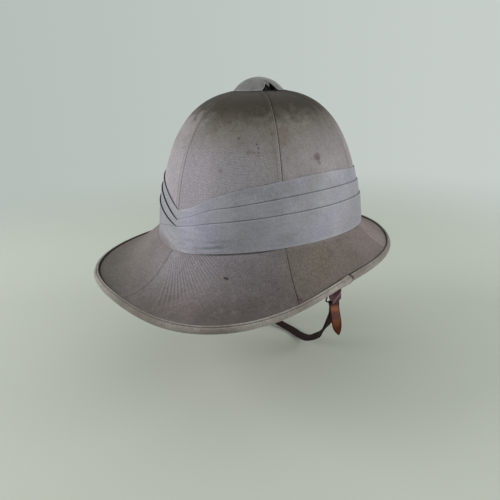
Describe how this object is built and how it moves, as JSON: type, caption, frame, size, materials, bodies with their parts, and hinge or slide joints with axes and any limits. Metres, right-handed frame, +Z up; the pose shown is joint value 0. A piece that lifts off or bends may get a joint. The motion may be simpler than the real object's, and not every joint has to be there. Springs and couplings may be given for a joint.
{
  "type": "pith helmet",
  "caption": "Cloth-covered sun helmet with a domed crown, wide drooping brim, pleated hat scarf, ventilator cap and a buckled leather chin strap.",
  "frame": {"origin": "middle of the headband's lower edge, where the helmet sits on a head", "axes": "+Z up; the wearer looks along -Y, so the brim's long back is at +Y; +X is the wearer's left"},
  "size_m": [0.2962, 0.3553, 0.3263],
  "materials": {
    "cover_cloth": "faded grey-khaki twill, soiled darker near the top",
    "scarf_cloth": "pale grey-khaki cotton, laid in folds",
    "edge_cloth": "khaki cloth binding, worn paler along its roll",
    "cap_cloth": "grey-khaki cloth drawn over a button",
    "shell_lining": "plain cotton glued to the moulded wall",
    "vent_metal": "dark crimped sheet",
    "band_leather": "plain smooth sweatband leather",
    "strap_leather": "dark brown strap leather, worn to tan",
    "buckle_metal": "darkened steel wire, bright where it rubs"
  },
  "bodies": {
    "root": {"crown_wall_back": "shell_lining", "crown_wall_right": "shell_lining", "crown_wall_front": "shell_lining", "crown_wall_left": "shell_lining", "brim_wall": "shell_lining", "cover_panel_1": "cover_cloth", "cover_panel_2": "cover_cloth", "cover_panel_3": "cover_cloth", "cover_panel_4": "cover_cloth", "cover_panel_5": "cover_cloth", "cover_panel_6": "cover_cloth", "brim_binding": "edge_cloth", "pugaree_fold_upper": "scarf_cloth", "pugaree_fold_lower": "scarf_cloth", "pugaree_band": "scarf_cloth", "ventilator_cap": "cap_cloth", "ventilator_collar": "vent_metal", "headband": "band_leather", "strap_short": "strap_leather", "strap_long": "strap_leather", "strap_keeper": "strap_leather", "buckle_frame": "buckle_metal"}
  },
  "joints": []
}
